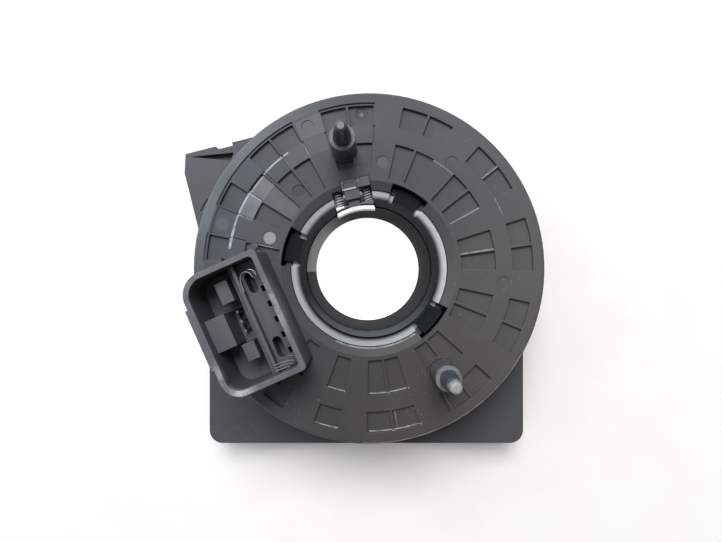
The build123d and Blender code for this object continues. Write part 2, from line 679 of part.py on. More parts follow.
def wheel_connector_insert():
    """The contact carrier of the inner chamber: five contact holes and two keying slots."""
    x_low = DIVIDER_X + INSERT_AIR
    x_high = CONNECTOR_SIZE[0] / 2 - CONNECTOR_WALL - INSERT_GAP
    y = CONNECTOR_SIZE[1] / 2 - CONNECTOR_WALL - INSERT_GAP
    body = block(x_low, x_high, -y, y, INSERT_BACK_Z, INSERT_FLOOR_Z)
    body += block(x_low, x_low + INSERT_STRIP, -y, y, INSERT_BACK_Z, INSERT_STRIP_Z)
    body &= prism(connector_outline(CONNECTOR_WALL + INSERT_GAP), DISC_FRONT_Z, CONNECTOR_TOP_Z)
    width, length, deep = KEY_SLOT
    key = prism(SlotCenterToCenter(length - width, width, rotation=90), INSERT_FLOOR_Z - deep,
                INSERT_FLOOR_Z + OVERCUT)
    body -= [Pos(KEY_SLOT_X, side * KEY_SLOT_Y, 0) * key for side in (-1, 1)]
    half = CONTACT_HOLE / 2
    for x, y_at in contact_places():
        hole = block(x - half, x + half, y_at - half, y_at + half, INSERT_BACK_Z - OVERCUT,
                     INSERT_FLOOR_Z + OVERCUT)
        body -= hole
    return in_connector(body)


def contact_bar(place, z_low, z_high):
    half = CONTACT_SIZE / 2
    x, y = place
    return block(x - half, x + half, y - half, y + half, z_low, z_high)


def wheel_contact_pins():
    pins = [contact_bar(p, TERMINAL_FRONT_Z, CONTACT_TOP_Z) for p in contact_places()]
    pins += [contact_bar(p, TERMINAL_FRONT_Z, BLADE_TOP_Z) for p in blade_places()]
    return in_connector(Compound(pins))


# ---- flat cable and its terminals --------------------------------------------------------------------
def flat_cable():
    """The spiral ribbon, wound as half circles about two centres half a pitch apart."""
    half_step = CABLE_PITCH / 2
    outer, inner = [], []
    for k in range(CABLE_HALF_TURNS):
        centre = (0, 0) if k % 2 == 0 else (-half_step, 0)
        r = CABLE_INNER_R + k * half_step
        start = 180 if k % 2 == 0 else 0
        outer.append(CenterArc(centre, r + CABLE_THICK / 2, start, 180))
        inner.append(CenterArc(centre, r - CABLE_THICK / 2, start, 180))
    ends = [Line(outer[0] @ 0, inner[0] @ 0), Line(outer[-1] @ 1, inner[-1] @ 1)]
    ribbon = make_face(outer + inner + ends)
    return Rot(0, 0, CONNECTOR_ANGLE - 180) * prism(ribbon, CABLE_BACK_Z, CABLE_FRONT_Z)


def inner_cable_terminal():
    """The carrier under the disc: it clamps the cable's inner end and holds the contacts' roots."""
    clamp_r = CABLE_INNER_R - CABLE_THICK
    x_axis = CONNECTOR_AT_R
    y_low = min(p[1] for p in contact_places()) - CONTACT_HOLE
    y_high = max(p[1] for p in contact_places()) + CONTACT_HOLE
    plate = block(BLADE_X - CONTACT_HOLE, x_axis - LEDGE_R, y_low, y_high,
                  CABLE_FRONT_Z + TERMINAL_SPAN / 4, TERMINAL_FRONT_Z)
    clamp = block(x_axis - clamp_r, x_axis - LEDGE_R, -TERMINAL_SPAN / 2, TERMINAL_SPAN / 2,
                  CABLE_BACK_Z, TERMINAL_FRONT_Z)
    column = disc(COLLAR_OUT_R + TERMINAL_GAP, 0, CONNECTOR_TOP_Z)
    return in_connector(plate + clamp) - column


def outer_cable_terminal():
    """The block on the drum wall that clamps the cable's outer end."""
    half = math.degrees(TERMINAL_SPAN / TERMINAL_OUT_R)
    body = sector(TERMINAL_IN_R, TERMINAL_OUT_R, -half, half, BASE_FRONT_Z, CABLE_FRONT_Z)
    half_hole = TERMINAL_PIN_HOLE / 2
    hole_top = CABLE_BACK_Z + TERMINAL_SPAN
    x = (TERMINAL_IN_R + TERMINAL_OUT_R) / 2
    for y in outer_pin_offsets():
        hole = block(x - half_hole, x + half_hole, y - half_hole, y + half_hole, 0, hole_top)
        body -= hole
    return radial(CONNECTOR_ANGLE, body)


def outer_pin_offsets():
    first = -OUTER_PIN_PITCH * (OUTER_PIN_COUNT - 1) / 2
    return [first + k * OUTER_PIN_PITCH for k in range(OUTER_PIN_COUNT)]


def outer_terminal_pins():
    x = (TERMINAL_IN_R + TERMINAL_OUT_R) / 2
    top = CABLE_BACK_Z + TERMINAL_SPAN
    pins = [contact_bar((x, y), BOARD_TOP_Z, top) for y in outer_pin_offsets()]
    return radial(CONNECTOR_ANGLE, Compound(pins))


# ---- stator --------------------------------------------------------------------------------------------
def corner_face(inset):
    """The turned upper left corner of the base, cut back by an inset."""
    left, top = CORNER_LEFT + inset, CORNER_TOP - inset
    in_x, in_y = CORNER_CHAMFER
    right, low = CORNER_INSIDE
    outline = Polyline(
        (left, low), (left, top - in_y), (left + in_x, top), (right, top), (right, low), close=True
    )
    return in_corner(make_face(outline))


def base_face(inset):
    """The base's outline: a square foot, a round head and the turned corner."""
    width = 2 * (BASE_HALF_WIDTH - inset)
    height = -BASE_BOTTOM_Y - inset
    foot = Pos(BASE_SHIFT_X, -height / 2) * Rectangle(width, height)
    foot = fillet(foot.vertices().sort_by(Axis.Y)[:2], BASE_CORNER_R - inset)
    return foot + Circle(BASE_ROUND_R - inset) + corner_face(inset)


def socket_face(margin):
    x, y = SOCKET_SIZE
    return in_corner(Pos(*SOCKET_CENTRE) * Rectangle(x + 2 * margin, y + 2 * margin))


def socket_block_face():
    """The solid round the socket, which the base's cavity leaves standing."""
    right = SOCKET_CENTRE[0] + SOCKET_SIZE[0] / 2 + BASE_WALL
    low = SOCKET_CENTRE[1] - SOCKET_SIZE[1] / 2 - BASE_WALL
    width, height = right - CORNER_LEFT, CORNER_TOP - low
    return in_corner(Pos(right - width / 2, CORNER_TOP - height / 2) * Rectangle(width, height))


def header_slot(gap):
    """The gap in the socket's inner wall that the header closes, open to the back."""
    wall_x = SOCKET_CENTRE[0] + SOCKET_SIZE[0] / 2
    half = SOCKET_SIZE[1] / 2 - SOCKET_EDGE - gap
    y = SOCKET_CENTRE[1]
    top = SOCKET_DEPTH - HEADER_ROOF - gap
    return in_corner(block(wall_x, wall_x + BASE_WALL, y - half, y + half, COVER_THICK, top))


def corner_notch(z_low, z_high):
    """The small step in the corner's upper edge."""
    low, high, deep = CORNER_NOTCH
    return in_corner(block(low, high, CORNER_TOP - deep, CORNER_TOP + OVERCUT, z_low, z_high))


def corner_relief():
    """The wedge and the groove moulded in the corner's front face."""
    z = CORNER_FRONT_Z
    wedge = make_face(Polyline(*CORNER_WEDGE, close=True))
    groove = make_face(Polyline(*CORNER_GROOVE, close=True))
    return [
        corner_notch(0, z + OVERCUT),
        in_corner(prism(wedge, z - CORNER_WEDGE_DEPTH, z + OVERCUT)),
        in_corner(prism(groove, z - CORNER_GROOVE_DEPTH, z + OVERCUT)),
    ]


def stator_housing():
    """One moulding: the cable drum on the sensor's open-backed base."""
    body = prism(base_face(0), COVER_THICK, BASE_FRONT_Z)
    corner = corner_face(0) - Circle(BASE_ROUND_R - BASE_WALL)
    body += prism(corner, COVER_THICK, CORNER_FRONT_Z)
    body -= corner_relief()
    cavity = base_face(BASE_WALL) - socket_block_face()
    body -= prism(cavity, COVER_THICK - OVERCUT, FLOOR_BACK_Z)
    body -= prism(socket_face(0), COVER_THICK - OVERCUT, SOCKET_DEPTH)
    body -= header_slot(0)
    body += ring(DRUM_R, DRUM_IN_R, BASE_FRONT_Z - OVERCUT, DRUM_TOP_Z)
    body -= disc(CENTRE_HOLE_R, 0, DISC_FRONT_Z)
    for place in POSTS:
        post = disc(POST_R, BOARD_TOP_Z, FLOOR_BACK_Z + OVERCUT, place)
        foot = disc(POST_R - POST_FOOT_STEP, COVER_THICK, BOARD_TOP_Z + OVERCUT, place)
        body += [post, foot]
        body -= disc(SCREW_R + SCREW_GAP / 2, 0, SCREW_LENGTH + OVERCUT, place)
    half = TERMINAL_SPAN / 2 + TERMINAL_SLOT_END
    pin_x = (TERMINAL_IN_R + TERMINAL_OUT_R) / 2
    side = TERMINAL_SLOT / 2
    slot = block(pin_x - side, pin_x + side, -half, half, 0, BASE_FRONT_Z + OVERCUT)
    return body - radial(CONNECTOR_ANGLE, slot)


def back_cover():
    """The flat cover with the column hole, the connector's mouth and four countersinks."""
    body = prism(base_face(0), 0, COVER_THICK)
    body -= disc(CENTRE_HOLE_R, -OVERCUT, COVER_THICK + OVERCUT)
    body -= prism(socket_face(0), -OVERCUT, COVER_THICK + OVERCUT)
    body -= corner_notch(-OVERCUT, COVER_THICK + OVERCUT)
    for place in POSTS:
        body -= disc(SCREW_R + SCREW_GAP, -OVERCUT, COVER_THICK + OVERCUT, place)
        body -= disc(SCREW_HEAD_R + SCREW_GAP, -OVERCUT, SCREW_HEAD + SCREW_GAP, place)
    axle_at = polar(COUNTER_DISTANCE, COUNTER_ANGLE)
    body += disc(AXLE_BOSS_R, COVER_THICK, AXLE_BOSS_TOP_Z, axle_at)
    return body - disc(AXLE_R, COVER_THICK / 2, GEAR_Z, axle_at)


def cover_screws():
    screws = []
    for place in POSTS:
        head = disc(SCREW_HEAD_R, SCREW_GAP, SCREW_HEAD, place)
        shank = disc(SCREW_R, SCREW_HEAD - SCREW_GAP, SCREW_LENGTH, place)
        drive = prism(RegularPolygon(SCREW_HEAD_R / 2, 6), 0, SCREW_HEAD / 2)
        screws.append(head + shank - Pos(*place, 0) * drive)
    return Compound([s.solid() for s in screws])


# ---- sensor -----------------------------------------------------------------------------------------------
def sensor_board():
    """The circuit board, notched round the cover posts and open round the hub."""
    x, y = SOCKET_CENTRE
    wall_x = x + SOCKET_SIZE[0] / 2 + BASE_WALL + RUN_GAP
    wing_low = y - SOCKET_SIZE[1] / 2 - BASE_WALL
    wing_x, wing_y = BOARD_WING_RIGHT, CORNER_TOP - BOARD_WING_EDGE
    centre = Pos((wall_x + wing_x) / 2, (wing_low + wing_y) / 2)
    wing = in_corner(centre * Rectangle(wing_x - wall_x, wing_y - wing_low))
    outline = Circle(BOARD_R) + wing - socket_block_face() - Circle(BOARD_HOLE_R)
    outline -= [Pos(*place) * Circle(POST_R) for place in POSTS]
    outline -= Pos(*polar(COUNTER_DISTANCE, COUNTER_ANGLE)) * Circle(AXLE_BOSS_R + RUN_GAP)
    return prism(outline, BOARD_Z, BOARD_TOP_Z)


def light_barrier(angle):
    """A fork on the board, its two arms above and below the code ring."""
    low = CODE_RING_Z - BARRIER_AIR - BARRIER_ARM
    high = CODE_RING_Z + CODE_RING_THICK + BARRIER_AIR
    half = BARRIER_WIDTH / 2
    in_r, out_r = BARRIER_SPINE_IN, BARRIER_SPINE_OUT
    spine = block(in_r, out_r, -half, half, BOARD_TOP_Z, high + BARRIER_ARM / 2)
    arms = [
        block(BARRIER_REACH, out_r, -half, half, low, low + BARRIER_ARM),
        block(BARRIER_REACH, out_r, -half, half, high, high + BARRIER_ARM / 2),
    ]
    return radial(angle, spine + arms)


def controller_chip():
    x, y, z = CHIP_SIZE
    at = polar(*CHIP_AT)
    return Pos(*at, 0) * block(-x / 2, x / 2, -y / 2, y / 2, BOARD_TOP_Z, BOARD_TOP_Z + z)


def hall_sensor():
    x, y, z = HALL_SIZE
    r = COUNTER_DISTANCE + (MAGNET_R[0] + MAGNET_R[1]) / 2
    body = block(r - x / 2, r + x / 2, -y / 2, y / 2, BOARD_TOP_Z, BOARD_TOP_Z + z)
    return radial(COUNTER_ANGLE, body)


def counter_axle():
    at = polar(COUNTER_DISTANCE, COUNTER_ANGLE)
    return disc(AXLE_R, COVER_THICK / 2, AXLE_TOP_Z, at)


def counter_gear():
    """The turns counter's pinion, with a seat for its ring magnet underneath."""
    turn = COUNTER_ANGLE - 180 + 180 / COUNTER_TEETH + phase_shift()
    body = prism(gear_face(COUNTER_TEETH, GEAR_BACKLASH), GEAR_Z, GEAR_Z + GEAR_THICK)
    body -= disc(MAGNET_R[1] + PIN_GAP, GEAR_Z - OVERCUT, GEAR_Z + MAGNET_THICK / 2)
    body += disc(MAGNET_R[0] - PIN_GAP, GEAR_Z - MAGNET_THICK / 2, GEAR_Z + GEAR_THICK)
    body -= disc(AXLE_R + AXLE_GAP, 0, DISC_FRONT_Z)
    return Pos(*polar(COUNTER_DISTANCE, COUNTER_ANGLE), 0) * Rot(0, 0, turn) * body


def phase_shift():
    """The turn that puts a counter tooth in the hub gap facing it."""
    hub_phase = (COUNTER_ANGLE % (360 / HUB_TEETH)) * HUB_TEETH / 360
    return hub_phase * 360 / COUNTER_TEETH


def counter_magnet():
    z = GEAR_Z - MAGNET_THICK / 2
    body = ring(MAGNET_R[1], MAGNET_R[0], z, z + MAGNET_THICK)
    return Pos(*polar(COUNTER_DISTANCE, COUNTER_ANGLE), 0) * body


# ---- column connector ----------------------------------------------------------------------------------------
def column_pin_paths():
    """For each pin: its socket place, its bar's height and its tail's place on the board."""
    x0, y0 = SOCKET_CENTRE
    wall = x0 + SOCKET_SIZE[0] / 2
    first = y0 - COLUMN_PIN_PITCH * (COLUMN_PINS_PER_ROW - 1) / 2
    paths = []
    for row, (x_off, z) in enumerate(PIN_ROWS):
        for k in range(COLUMN_PINS_PER_ROW):
            tail = wall + COLUMN_TAIL + COLUMN_TAIL_STEP * (1 - row)
            paths.append((x0 + x_off, tail, first + k * COLUMN_PIN_PITCH, z))
    return paths


def column_pin(x_tip, x_tail, y, z):
    half = CONTACT_SIZE / 2
    bar = block(x_tip - half, x_tail + half, y - half, y + half, z - half, z + half)
    tip = contact_bar((x_tip, y), COLUMN_PIN_TIP_Z, z)
    tail = contact_bar((x_tail, y), BOARD_TOP_Z, z)
    return bar + tip + tail


def column_connector_pins():
    pins = [column_pin(*path) for path in column_pin_paths()]
    return in_corner(Compound([p.solid() for p in pins]))


def column_connector_header():
    """The block that closes the socket's inner wall and holds the pins."""
    body = header_slot(PIN_GAP)
    for x_tip, x_tail, y, z in column_pin_paths():
        half = CONTACT_SIZE / 2 + PIN_GAP / 2
        body -= in_corner(block(x_tip, x_tail, y - half, y + half, z - half, z + half))
    return body


PARTS = {
    "rotor_disc": rotor_disc,
    "guide_pin_upper": lambda: guide_pin(GUIDE_UPPER),
    "guide_pin_lower": lambda: guide_pin(GUIDE_LOWER),
    "hub_sleeve": hub_sleeve,
    "slide_ring": slide_ring,
    "lock_latch": lock_latch,
    "latch_retainer": latch_retainer,
    "latch_spring_left": lambda: latch_spring(1),
    "latch_spring_right": lambda: latch_spring(-1),
    "code_ring": code_ring,
    "wheel_connector_housing": wheel_connector_housing,
    "wheel_connector_insert": wheel_connector_insert,
    "wheel_contact_pins": wheel_contact_pins,
    "inner_cable_terminal": inner_cable_terminal,
    "flat_cable": flat_cable,
    "outer_cable_terminal": outer_cable_terminal,
    "outer_terminal_pins": outer_terminal_pins,
    "stator_housing": stator_housing,
    "back_cover": back_cover,
    "cover_screws": cover_screws,
    "sensor_board": sensor_board,
    "light_barrier_fine": lambda: light_barrier(BARRIER_ANGLES[0]),
    "light_barrier_coarse": lambda: light_barrier(BARRIER_ANGLES[1]),
    "controller_chip": controller_chip,
    "hall_sensor": hall_sensor,
    "counter_axle": counter_axle,
    "counter_gear": counter_gear,
    "counter_magnet": counter_magnet,
    "column_connector_pins": column_connector_pins,
    "column_connector_header": column_connector_header,
}

os.makedirs("parts", exist_ok=True)
for name, make in PARTS.items():
    export_step(make(), f"parts/{name}.step")
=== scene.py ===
"""Looks of the steering clock spring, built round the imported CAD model.

Lengths are in metres, except where a name or a comment says mm. Angles in tables are in degrees.
"""

import math

import bpy
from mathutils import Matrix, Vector


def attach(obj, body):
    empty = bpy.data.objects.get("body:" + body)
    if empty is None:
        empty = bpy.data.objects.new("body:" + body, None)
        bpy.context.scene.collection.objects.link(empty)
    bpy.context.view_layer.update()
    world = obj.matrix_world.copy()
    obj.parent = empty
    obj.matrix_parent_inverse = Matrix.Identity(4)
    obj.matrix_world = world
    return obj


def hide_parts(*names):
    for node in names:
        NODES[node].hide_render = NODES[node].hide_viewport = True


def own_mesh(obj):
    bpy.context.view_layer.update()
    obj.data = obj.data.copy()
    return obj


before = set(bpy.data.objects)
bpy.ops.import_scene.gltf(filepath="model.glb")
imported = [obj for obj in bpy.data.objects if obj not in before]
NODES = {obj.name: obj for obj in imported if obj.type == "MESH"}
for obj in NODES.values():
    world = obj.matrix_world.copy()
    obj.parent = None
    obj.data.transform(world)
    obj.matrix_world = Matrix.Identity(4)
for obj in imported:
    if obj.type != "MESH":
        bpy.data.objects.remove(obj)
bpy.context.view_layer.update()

MM = 0.001

# ---- camera: straight down the column axis ------------------------------------------------------
IMAGE_WIDTH_PX = 722
FOCAL_PX = 560
SENSOR_MM = 36
CAMERA_AT = (-2.44 * MM, -0.745 * MM, 211 * MM)
CLIP_START = 0.01


def add_camera():
    data = bpy.data.cameras.new("camera")
    data.sensor_width = SENSOR_MM
    data.lens = SENSOR_MM * FOCAL_PX / IMAGE_WIDTH_PX
    data.clip_start = CLIP_START
    camera = bpy.data.objects.new("camera", data)
    camera.location = CAMERA_AT
    bpy.context.scene.collection.objects.link(camera)
    bpy.context.scene.camera = camera


# ---- node helpers -------------------------------------------------------------------------------
BEVEL_SAMPLES = 6
# the cosine between the rounded and the true normal, where an edge's mask is full and where it ends
EDGE_FULL, EDGE_END = 0.72, 0.97
# the share of a sharp spot's radius that is full
SPOT_CORE = 0.99


class Nodes:
    """A short way to write a node material."""

    def __init__(self, name):
        self.material = bpy.data.materials.new(name)
        self.material.use_nodes = True
        self.tree = self.material.node_tree
        self.tree.nodes.clear()
        self.shader = self.add("ShaderNodeBsdfPrincipled")
        output = self.add("ShaderNodeOutputMaterial")
        self.link(self.shader.outputs["BSDF"], output.inputs["Surface"])
        self.place = self.add("ShaderNodeTexCoord").outputs["Object"]

    def add(self, kind, **values):
        node = self.tree.nodes.new(kind)
        for key, value in values.items():
            setattr(node, key, value)
        return node

    def link(self, source, target):
        self.tree.links.new(source, target)

    def put(self, value, socket):
        """Links a socket, or sets a number, a colour or a vector."""
        if isinstance(value, bpy.types.NodeSocket):
            self.link(value, socket)
        elif isinstance(value, tuple):
            socket.default_value = (*value, 1)
        else:
            socket.default_value = value

    def feed(self, value, name="Base Color"):
        """Links a value to the shader's socket of that name."""
        self.link(value, self.shader.inputs[name])

    def fed(self, name="Base Color"):
        """What the shader's socket of that name is fed with so far."""
        return self.shader.inputs[name].links[0].from_socket

    def math(self, operation, *values):
        node = self.add("ShaderNodeMath", operation=operation)
        for socket, value in zip(node.inputs, values):
            self.put(value, socket)
        return node.outputs[0]

    def mix(self, factor, a, b):
        """The colour a where factor is 0, and b where it is 1."""
        node = self.add("ShaderNodeMix", data_type="RGBA")
        for index, value in ((0, factor), (6, a), (7, b)):
            self.put(value, node.inputs[index])
        return node.outputs[2]

    def ramp(self, value, stops):
        """Maps a value through (position, grey or colour) stops."""
        node = self.add("ShaderNodeValToRGB")
        ramp = node.color_ramp
        for element, (position, colour) in zip(ramp.elements, stops):
            element.position = position
            rgb = (colour,) * 3 if isinstance(colour, (int, float)) else colour
            element.color = (*rgb, 1)
        self.link(value, node.inputs["Fac"])
        return node.outputs["Color"]

    def noise(self, scale, detail=4.0, roughness=0.55, stretch=None):
        """A noise value; scale is in cells per metre."""
        node = self.add("ShaderNodeTexNoise")
        node.inputs["Scale"].default_value = scale
        node.inputs["Detail"].default_value = detail
        node.inputs["Roughness"].default_value = roughness
        place = self.place
        if stretch:
            mapping = self.add("ShaderNodeMapping")
            mapping.inputs["Scale"].default_value = stretch
            self.link(place, mapping.inputs["Vector"])
            place = mapping.outputs["Vector"]
        self.link(place, node.inputs["Vector"])
        return node.outputs["Fac"]

    def patches(self, scale, low, high, **noise):
        """Noise mapped from the (position, value) stop low to the stop high."""
        return self.ramp(self.noise(scale, **noise), (low, high))

    def rounded(self, radius_mm):
        """The normal that rounds edges to a radius."""
        bevel = self.add("ShaderNodeBevel", samples=BEVEL_SAMPLES)
        bevel.inputs["Radius"].default_value = radius_mm * MM
        return bevel.outputs["Normal"]

    def edges(self, normal):
        """A mask of the convex and concave edges that the rounded normal turns away from."""
        dot = self.add("ShaderNodeVectorMath", operation="DOT_PRODUCT")
        self.link(normal, dot.inputs[0])
        self.link(self.add("ShaderNodeNewGeometry").outputs["Normal"], dot.inputs[1])
        return self.ramp(dot.outputs["Value"], ((EDGE_FULL, 1.0), (EDGE_END, 0.0)))

    def relief(self, normal, layers):
        """Bump layers as (height, strength, depth in mm), one on top of the other."""
        for height, strength, depth in layers:
            bump = self.add("ShaderNodeBump")
            bump.inputs["Strength"].default_value = strength
            bump.inputs["Distance"].default_value = depth * MM
            self.link(height, bump.inputs["Height"])
            self.link(normal, bump.inputs["Normal"])
            normal = bump.outputs["Normal"]
        self.feed(normal, "Normal")

    def specks(self, per_metre, size, share):
        """Small round specks in a share of the cells; size is a share of a cell."""
        cells = self.add("ShaderNodeTexVoronoi", feature="F1")
        cells.inputs["Scale"].default_value = per_metre
        self.link(self.place, cells.inputs["Vector"])
        chance = self.add("ShaderNodeSeparateColor")
        self.link(cells.outputs["Color"], chance.inputs[0])
        near = self.ramp(cells.outputs["Distance"], ((size * 0.6, 1.0), (size, 0.0)))
        return self.math("MULTIPLY", near, self.math("LESS_THAN", chance.outputs[0], share))

    def dust(self, amount):
        """Fine specks gathered in drifts, and coarser ones all over."""
        drifts = self.patches(60, (0.42, 0.0), (0.66, 1.0), detail=6, roughness=0.7)
        fine = self.math("MULTIPLY", self.specks(900, 0.22, 0.22), drifts)
        both = self.math("MAXIMUM", fine, self.specks(260, 0.09, 0.14))
        return self.math("MULTIPLY", both, amount)

    def axes(self):
        """The object's x, y and z in metres."""
        split = self.add("ShaderNodeSeparateXYZ")
        self.link(self.place, split.inputs[0])
        return split.outputs

    def radius(self):
        """The distance from the column axis in metres."""
        x, y = self.axes()[:2]
        return self.math("SQRT", self.math("ADD", self.math("MULTIPLY", x, x), self.math("MULTIPLY", y, y)))

    def angle(self):
        """The angle about the column axis in degrees, from 0 to 360."""
        x, y = self.axes()[:2]
        turn = self.math("MULTIPLY", self.math("ARCTAN2", y, x), 180 / math.pi)
        return self.math("MODULO", self.math("ADD", turn, 360), 360)

    def across(self, source, low, high):
        """0 to 1 as a value goes from low to high."""
        node = self.add("ShaderNodeMapRange")
        node.inputs["From Min"].default_value = low
        node.inputs["From Max"].default_value = high
        self.link(source, node.inputs["Value"])
        return node.outputs["Result"]

    def across_mm(self, source, low, high):
        """0 to 1 as a length in metres goes from low to high in mm."""
        return self.across(source, low * MM, high * MM)

    def above(self, low, high):
        """0 below the height low and 1 above the height high, in mm."""
        return self.across_mm(self.axes()[2], low, high)

    def largest(self, masks):
        """The largest of several masks, at each point."""
        total = masks[0]
        for mask in masks[1:]:
            total = self.math("MAXIMUM", total, mask)
        return total

    def marks(self, table, fade=0.01):
        """Marks as (inner radius, outer radius in mm, first angle, last angle, amount).

        fade is how far a mark fades in from its first and last angle, in degrees.
        """
        radius, angle = self.radius(), self.angle()
        masks = []
        for r_in, r_out, first, last, amount in table:
            half_turn = (last - first) / 2
            apart = self.math("ABSOLUTE", self.math("SUBTRACT", angle, (first + last) / 2))
            within_turn = self.across(apart, half_turn, half_turn - fade)
            within_band = self.math("COMPARE", radius, (r_in + r_out) / 2 * MM, (r_out - r_in) / 2 * MM)
            masks.append(self.math("MULTIPLY", self.math("MULTIPLY", within_band, within_turn), amount))
        return self.largest(masks)

    def spots(self, table, soft=0.0):
        """Round spots as (distance from the column axis in mm, angle, radius in mm, amount).

        soft is the share of the radius over which a spot fades out.
        """
        x, y = self.axes()[:2]
        flat = self.add("ShaderNodeCombineXYZ")
        self.link(x, flat.inputs[0])
        self.link(y, flat.inputs[1])
        masks = []
        for distance, angle, radius, amount in table:
            turn = math.radians(angle)
            centre = self.add("ShaderNodeCombineXYZ")
            centre.inputs[0].default_value = distance * MM * math.cos(turn)
            centre.inputs[1].default_value = distance * MM * math.sin(turn)
            apart = self.add("ShaderNodeVectorMath", operation="DISTANCE")
            self.link(centre.outputs[0], apart.inputs[0])
            self.link(flat.outputs[0], apart.inputs[1])
            inside = self.across_mm(apart.outputs["Value"], radius, radius * (SPOT_CORE - soft))
            masks.append(self.math("MULTIPLY", inside, amount))
        return self.largest(masks)


# ---- kinds of material --------------------------------------------------------------------------
# each moulded plastic's dark and light tone, roughness (None where its finish sets it) and edge wear
PLASTICS = {
    "disc_plastic": ((0.042, 0.034, 0.03), (0.067, 0.057, 0.051), None, 0.25),
    "base_plastic": ((0.052, 0.051, 0.056), (0.068, 0.067, 0.073), 0.58, 0.15),
    "sleeve_plastic": ((0.009, 0.011, 0.012), (0.015, 0.018, 0.020), 0.75, 0.1),
    "connector_plastic": ((0.06, 0.065, 0.073), (0.088, 0.095, 0.105), 0.5, 0.5),
    "retainer_plastic": ((0.026, 0.028, 0.031), (0.042, 0.045, 0.049), 0.4, 0.3),
    "insert_plastic": ((0.058, 0.064, 0.071), (0.092, 0.1, 0.109), 0.42, 0.45),
    "upper_pin": ((0.006, 0.007, 0.008), (0.009, 0.0105, 0.012), 0.35, 0.3),
    "lower_pin": ((0.034, 0.039, 0.046), (0.051, 0.0585, 0.069), 0.35, 0.3),
    "chip_plastic": ((0.02, 0.02, 0.02), (0.03, 0.03, 0.03), 0.5, 0.3),
    "board": ((0.01, 0.07, 0.03), (0.015, 0.1, 0.04), 0.35, 0.3),
    # the end ribs are painted paler than the insert, as painted highlight
    "rib_plastic": ((0.09, 0.097, 0.105), (0.15, 0.16, 0.17), 0.35, 0.6),
}
DUST_AMOUNT, DUST_GREY = 0.3, (0.5, 0.49, 0.47)
WORN_GREY = (0.36, 0.36, 0.37)
PLASTIC_GRAIN = 0.2
PLASTIC_EDGE_MM = 0.25

# each natural plastic's dark and light tone and roughness
NATURALS = {
    "ring_acetal": ((0.62, 0.645, 0.655), (0.76, 0.785, 0.795), 0.4),
    "acetal": ((0.36, 0.375, 0.38), (0.46, 0.475, 0.48), 0.4),
    "latch_acetal": ((0.8, 0.81, 0.81), (0.88, 0.89, 0.89), 0.3),
    "film": ((0.6, 0.58, 0.5), (0.7, 0.68, 0.6), 0.35),
}
GRIME_GREY = (0.2, 0.2, 0.19)
NATURAL_TRANSLUCENCE, NATURAL_DEPTH = 0.15, 0.8 * MM
NATURAL_GRAIN = 0.12
NATURAL_EDGE_MM = 0.12

# each metal's colour and roughness
METALS = {
    "steel": ((0.6, 0.6, 0.6), 0.3),
    "tinned": ((0.3, 0.3, 0.3), 0.5),
    "magnet": ((0.18, 0.18, 0.19), 0.5),
    "clip_tin": ((0.55, 0.56, 0.57), 0.35),
    "spring_steel": ((0.66, 0.69, 0.7), 0.65),
}
# cells per metre along x, y and z, so that the streaks run upwards
METAL_STREAKS = (900, 900, 60)
# what the darker streaks and the dull patches keep of the colour
STREAK_SHARE, DULL_SHARE = 0.7, 0.45
METAL_GRAIN = 0.1
METAL_EDGE_MM = 0.05
# the springs' wire is dulled by its coating
WIRE_METALLIC = 0.2


def moulded_plastic(name):
    """Injection-moulded plastic: cloudy tone, fine grain, dust and edges made a little lighter by wear."""
    dark, light, rough, wear = PLASTICS[name]
    n = Nodes(name)
    tone = n.mix(n.patches(26.0, (0.32, 0.0), (0.68, 1.0), detail=6, roughness=0.6), dark, light)
    dusty = n.mix(n.dust(DUST_AMOUNT), tone, DUST_GREY)
    normal = n.rounded(PLASTIC_EDGE_MM)
    # here the edges are lighter with real wear only
    wear_and_highlight = n.math("MULTIPLY", n.edges(normal), n.patches(180, (0.35, 0.15), (0.65, 1.0), detail=5))
    n.feed(n.mix(n.math("MULTIPLY", wear_and_highlight, wear), dusty, WORN_GREY))
    if rough is not None:
        n.feed(n.patches(34, (0.3, rough - 0.06), (0.7, rough + 0.08), detail=7, roughness=0.62), "Roughness")
    n.relief(normal, ((n.noise(1500, detail=3), PLASTIC_GRAIN, 0.02),
                      (n.noise(150, detail=4), PLASTIC_GRAIN, 0.05)))
    return n


def natural_plastic(name):
    """Uncoloured plastic: milky, faintly mottled, a little light inside."""
    dark, light, rough = NATURALS[name]
    n = Nodes(name)
    tone = n.mix(n.patches(70, (0.3, 0.0), (0.7, 1.0), detail=6), dark, light)
    grime = n.patches(240, (0.56, 0.0), (0.74, 0.5), detail=5, roughness=0.7)
    n.feed(n.mix(grime, tone, GRIME_GREY))
    n.feed(n.patches(60, (0.3, rough - 0.05), (0.7, rough + 0.08)), "Roughness")
    n.shader.inputs["Subsurface Weight"].default_value = NATURAL_TRANSLUCENCE
    n.shader.inputs["Subsurface Scale"].default_value = NATURAL_DEPTH
    n.relief(n.rounded(NATURAL_EDGE_MM), ((n.noise(900), NATURAL_GRAIN, 0.02),))
    return n


def metal(name):
    """Drawn or plated metal, streaked and dulled in patches."""
    colour, rough = METALS[name]
    n = Nodes(name)
    streak = n.noise(1.0, stretch=METAL_STREAKS)
    darker, dullest = (tuple(share * c for c in colour) for share in (STREAK_SHARE, DULL_SHARE))
    streaked = n.mix(n.ramp(streak, ((0.3, 0.0), (0.7, 1.0))), darker, colour)
    n.feed(n.mix(n.patches(300, (0.4, 0.0), (0.7, 0.5)), streaked, dullest))
    n.shader.inputs["Metallic"].default_value = 1.0
    n.feed(n.ramp(streak, ((0.2, rough - 0.08), (0.8, rough + 0.1))), "Roughness")
    n.relief(n.rounded(METAL_EDGE_MM), ((streak, METAL_GRAIN, 0.01),))
    return n


def assign(n, *names):
    for name in names:
        slots = NODES[name].data.materials
        slots.clear()
        slots.append(n.material)
